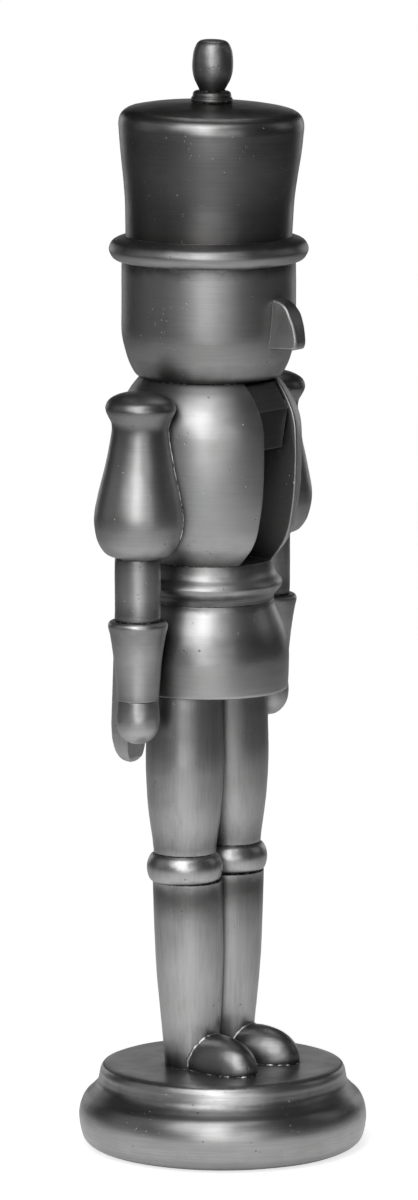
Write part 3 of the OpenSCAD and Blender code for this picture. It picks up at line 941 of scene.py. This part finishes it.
def make_finial():
    height = 16.2
    outline = [[3.9, 0], [4.3, 0.9], [5, 2.2], [5.75, 3.8], [6.3, 6], [6.48, 8.4], [6.3, 11.2],
               [5.95, 13], [5.35, 14.5], [4.7, 15.4], [3.7, 15.95], [2, height - 0.05],
               [0.05, height]]
    bm = lathe(softened(smooth(outline), 0.2, 0), 128, (0, axis_y, hat_z + hat_h + 3.4))
    tipped(bm)
    hand_finish(bm, 12, 0.06, 5)
    return finished("egg_finial", bm)


# ---- The figure ----

# Each list holds (height, brightness) stops: dark bands round the joints, partly antique dark
# paint and partly painted shade
base_wash_and_shade = [(0, 1.0), (4, 1.0), (8, 0.8), (12, 0.78), (17, 0.55), (19.5, 0.42), (22, 0.75),
             (24, 1.0), (base_top - 0.8, 0.95), (base_top - 0.1, 0.6)]
leg_wash_and_shade = [(base_top, 0.12), (base_top + 2, 0.3), (base_top + 6, 0.75), (base_top + 16, 1.0),
            (knee_z - 20, 0.95), (knee_z - 12, 0.75), (knee_z - 8, 0.42), (knee_z - 5, 0.22),
            (knee_z - 2, 0.26), (knee_z - 0.5, 0.7), (knee_z + 1, 0.95), (thigh_z - 1, 1.0),
            (thigh_z + 1.5, 0.6), (thigh_z + 9, 0.95), (thigh_z + 16, 1.0), (skirt_z - 27, 0.9),
            (skirt_z - 14, 0.55), (skirt_z - 5, 0.5), (skirt_z - 1, 0.75)]
hand_low, cuff_low, cuff_top = low("right_hand").z, low("right_cuff").z, high("right_cuff").z
arm_wash_and_shade = [(hand_low, 1.0), (cuff_low - 4, 0.85), (cuff_low - 0.5, 0.6), (cuff_low + 3, 0.95),
            (cuff_top - 11, 1.0), (cuff_top - 7, 0.75), (cuff_top - 3, 0.5), (cuff_top - 0.5, 0.9),
            (cuff_top + 2, 0.45), (cuff_top + 8, 0.95), (coat_z - 1, 0.75), (coat_z + 3, 0.5),
            (coat_z + 8, 0.7), (coat_z + 18, 0.8), (coat_z + 34, 0.65), (coat_z + 43, 0.5),
            (coat_z + 47, 0.45), (coat_z + 51, 0.45)]
coat_wash_and_shade = [(skirt_z, 1.0), (sash_z - 19, 0.9), (sash_z - 15, 0.6), (sash_z - 10.5, 0.6),
             (sash_z - 7.5, 0.95), (sash_z - 2, 1.0), (sash_z - 0.5, 0.5), (sash_z + 1.5, 0.25),
             (sash_z + 3.5, 0.45), (sash_z + 5, 0.95), (sash_z + 9, 1.0), (coat_z - 2, 0.8),
             (coat_z - 0.5, 0.4), (coat_z + 1.5, 0.5), (coat_z + 5, 0.85), (coat_z + 12, 0.95),
             (coat_z + 44, 0.95), (coat_z + 48, 0.95), (coat_z + 52, 0.65),
             (coat_z + coat_h - 1, 0.6)]
jaw_wash_and_shade = [(118, 1.0), (150, 0.95), (200, 0.55), (lever_top, 0.5)]
hat_top = hat_z + hat_h
head_wash_and_shade = [(head_z, 0.2), (head_z + 2.5, 0.5), (head_z + 7, 0.85), (head_z + 12, 0.85),
             (head_z + 17, 0.7), (brim_z - 3.5, 0.75), (brim_z - 2, 0.5), (brim_z - 0.5, 0.25),
             (brim_z + 1, 0.85), (hat_z - 3, 0.7), (hat_z - 1, 0.35), (hat_top - 1, 0.25),
             (hat_top + 4, 0.3), (hat_top + 8, 0.7), (hat_top + 15, 0.6)]
# The hat is toned dark all over and darkest at its top face: painted shade
hat_wash_and_shade = [(hat_z, 0.2), (hat_z + 6, 0.3), (hat_z + 18, 0.36), (hat_z + 32, 0.42),
            (hat_top - 5, 0.6), (hat_top - 2.5, 0.35), (hat_top - 1.2, 0.16)]

show(make_base(), "base", "figure", pewter("pewter_base", LEVEL_STROKES, 1, base_wash_and_shade))
show(make_felt(), "base_felt", "figure", felt())

sole_metal = bare_pewter("sole_metal", 0.45)
seam_metal = bare_pewter("seam_metal", 0.36)
shoe_welt = pewter("pewter_welt", LEVEL_STROKES, 20, tone=0.9, hollow_shade_and_wash=0.25)
for word, side in SIDES.items():
    boot = finished(f"{word}_tall_boot", boot_solid(side, seed=10 + side))
    shoe = make_shoe(side)
    combine(shoe, [finished("boot_cutter", boot_solid(side, 0.05))], "DIFFERENCE")
    ankle = seam_points(shoe, lambda p: p.z > base_top + 0.5 and abs(p.x) > 0.5)
    leg = pewter(f"pewter_{word}_leg", UPRIGHT_STROKES, 2 + side, leg_wash_and_shade, 1.05)
    arm = pewter(f"pewter_{word}_arm", LEVEL_STROKES, 6 + side, arm_wash_and_shade, tone=1.1, rough=0.05,
                 marks=0.5, hollow_shade_and_wash=1.6)
    toe = pewter(f"pewter_{word}_shoe", LEVEL_STROKES, 12 + side, tone=0.58, rough=0.03)
    show(shoe, f"{word}_shoe", "figure", toe)
    show(boot, f"{word}_boot", "figure", leg)
    show(make_knee_band(side), f"{word}_knee_band", "figure", leg)
    show(make_thigh(side), f"{word}_thigh", "figure", leg)
    sleeve = make_sleeve(side)
    armhole = seam_points(sleeve, lambda p: p.z > coat_z + 7 and p.y < arm_y)
    show(sleeve, f"{word}_sleeve", "figure", arm)
    add_seam(f"{word}_ankle_welt", ankle, 0.55, 3 + side, shoe_welt)
    add_seam(f"{word}_sole_line", shoe_foot(side), 0.2, 5 + side, sole_metal)
    add_seam(f"{word}_armhole_line", armhole, 0.19, 7 + side, seam_metal)
    show(make_forearm(side), f"{word}_forearm", "figure", arm)
    show(make_cuff(side), f"{word}_cuff", "figure", arm)
    show(make_hand(side), f"{word}_hand", "figure", arm)

coat_finish = pewter("pewter_coat", LEVEL_STROKES, 3, coat_wash_and_shade, rough=0.04, marks=0.45,
                     hollow_shade_and_wash=1.5)
show(make_skirt(), "coat_skirt", "figure", coat_finish)
show(make_sash(), "sash", "figure", coat_finish)
show(make_coat(), "coat_body", "figure", coat_finish)

jaw_finish = pewter("pewter_jaw", UPRIGHT_STROKES, 4, jaw_wash_and_shade, 0.95)
show(make_lever(), "jaw_lever", "jaw", jaw_finish)
# The beard is toned down to a third of the pewter: painted shade for its place under the head, in
# the slot
show(make_beard(), "beard", "jaw", pewter("pewter_beard", LEVEL_STROKES, 9, tone=0.33))

head_finish = pewter("pewter_head", LEVEL_STROKES, 5, head_wash_and_shade, rough=0.07, marks=0.7)
show(make_head(), "head", "figure", head_finish)
show(make_nose(), "nose", "figure", head_finish)
show(make_brim(), "brim", "figure", head_finish)
show(make_hat(), "hat", "figure", pewter("pewter_hat", LEVEL_STROKES, 8, hat_wash_and_shade))
show(make_collar(), "finial_collar", "figure", head_finish)
show(make_finial(), "finial", "figure", head_finish)

# The hidden dowels and the pin keep their CAD shape
dowel_finish = beech()
for node in ("ankle_dowels", "knee_dowels", "hip_dowels", "shoulder_dowels", "arm_dowels",
             "neck_dowels", "hat_dowel"):
    recolour(node, dowel_finish)
recolour("pivot_pin", steel())


# ---- Stage ----

VIEW_AZIMUTH = math.radians(-53)      # where the camera stands, from in front of the face
CAMERA_PLACE = (-2.047, -1.537, 0.591)
CAMERA_PITCH = math.radians(80.82)    # from looking straight down
LENS = 244.18                         # for a 36 mm sensor
BEHIND = Vector((-math.sin(VIEW_AZIMUTH), math.cos(VIEW_AZIMUTH), 0))
SIDEWAYS = BEHIND.cross((0, 0, 1))

FLOOR_RADIUS = 1.3
FLOOR_SHIFT = 0.25     # how far behind the figure the middle of the floor lies
FADE_FROM = 0.25       # the part of its radius where the floor starts to fade out
FLOOR_GLOW = 0.58
FLOOR_SEEN = 1.25      # times FLOOR_GLOW, where the camera sees the floor itself

BACKDROP = 1.0         # the backdrop, as the camera sees it
SOFT_LIGHT = 0.25      # the broad light of the room
DIM = 0.015            # the rest of the room, times SOFT_LIGHT
SOFT_HEIGHT = math.radians(35)
SOFT_SPREAD = math.cos(math.radians(35))

LIGHT_TARGET = Vector((0, 0, 0.19))
LIGHT_DISTANCE = 1.6
# Degrees from the camera, degrees above the floor, width and height in metres, and watts
LIGHTS = {
    "strip": (-9, 30, (0.6, 1.6), 11.5),
    "top": (-6, 60, (1.5, 0.6), 4.0),
    "key": (-36, 32, (0.6, 0.9), 3.2),
    "side": (-85, 20, (1.0, 1.2), 1.0),
    "low": (0, 1, (0.9, 0.35), 2.2),
    "fill": (24, 8, (0.4, 0.6), 1.3),
    "far_side": (104, 25, (0.5, 0.9), 0.6),
    "crown": (180, 65, (0.6, 0.6), 1.8),
    "back": (180, 5, (0.6, 0.6), 0.6),
    "left_rim": (150, 5, (0.6, 0.6), 1.0),
    "right_rim": (-150, 5, (0.6, 0.6), 1.0),
}


def make_floor():
    """A pale sheet that glows a little, as a light table does. Its glow falls off behind the
    figure and to its sides, and the sheet fades out towards its edge."""
    bm = bmesh.new()
    bmesh.ops.create_circle(bm, cap_ends=True, segments=96, radius=FLOOR_RADIUS / MM)
    floor = finished("floor", bm)
    floor.location = BEHIND * FLOOR_SHIFT
    n = Nodes(bpy.data.materials.new("pale_floor"))
    n.set(Base_Color=(0.86, 0.86, 0.86, 1), Roughness=0.9, Emission_Color=(1, 1, 1, 1))
    # A ramp starts at 0, so the distance behind the figure is counted from 0.5 m in front of it
    depth = n.maths("ADD", n.along(BEHIND), FLOOR_SHIFT + 0.5)
    in_front = n.ramp(depth, [(0.4, 1.0), (0.6, 0.3)])
    aside = n.maths("ABSOLUTE", n.along(SIDEWAYS))
    in_middle = n.ramp(aside, [(0.08, 1.0), (0.45, 0.25)])
    glow = n.mix(1.0, in_front, in_middle, "MULTIPLY")
    seen = n.node("ShaderNodeLightPath").outputs["Is Camera Ray"]
    glow = n.times(n.mix(seen, glow, (FLOOR_SEEN, FLOOR_SEEN, FLOOR_SEEN)), FLOOR_GLOW)
    n.link(glow, n.shader.inputs["Emission Strength"])
    away = n.node("ShaderNodeVectorMath", operation="LENGTH")
    n.link(n.place, away.inputs[0])
    outward = n.maths("DIVIDE", away.outputs["Value"], FLOOR_RADIUS)
    n.link(n.ramp(outward, [(FADE_FROM, 1.0), (1.0, 0.0)]), n.shader.inputs["Alpha"])
    floor.data.materials.append(n.owner)


def make_light(name, turn_from_camera, elevation, size, power):
    """A soft rectangular light aimed at the figure."""
    a, e = VIEW_AZIMUTH + math.radians(turn_from_camera), math.radians(elevation)
    away = Vector((math.sin(a) * math.cos(e), -math.cos(a) * math.cos(e), math.sin(e)))
    data = bpy.data.lights.new(name, "AREA")
    data.shape = "RECTANGLE"
    data.size, data.size_y = size
    data.energy = power
    light = placed(name, data)
    light.location = LIGHT_TARGET + away * LIGHT_DISTANCE
    light.rotation_euler = (-away).to_track_quat("-Z", "Y").to_euler()


def make_world():
    """A dark studio with one broad soft light high behind the camera. The camera sees a plain
    pale backdrop."""
    world = bpy.data.worlds.new("studio")
    bpy.context.scene.world = world
    n = Nodes(world, "Generated")
    towards = -BEHIND * math.cos(SOFT_HEIGHT) + Vector((0, 0, math.sin(SOFT_HEIGHT)))
    full_from = 0.3 * SOFT_SPREAD + 0.7
    glow = n.ramp(n.along(towards), [(SOFT_SPREAD, DIM), (full_from, 1.0)])
    glow = n.mix(1.0, glow, (SOFT_LIGHT, SOFT_LIGHT, SOFT_LIGHT), "MULTIPLY")
    seen = n.node("ShaderNodeLightPath").outputs["Is Camera Ray"]
    n.link(n.mix(seen, glow, (BACKDROP, BACKDROP, BACKDROP)),
           n.tree.nodes["Background"].inputs["Color"])


def make_camera():
    data = bpy.data.cameras.new("camera")
    data.sensor_fit = "VERTICAL"
    data.sensor_width = data.sensor_height = 36
    data.lens = LENS
    data.clip_end = 50
    camera = placed("camera", data)
    camera.location = CAMERA_PLACE
    camera.rotation_euler = (CAMERA_PITCH, 0, VIEW_AZIMUTH)
    bpy.context.scene.camera = camera


make_floor()
make_world()
for name, light in LIGHTS.items():
    make_light(name, *light)
make_camera()
bpy.context.scene.view_settings.view_transform = "Standard"
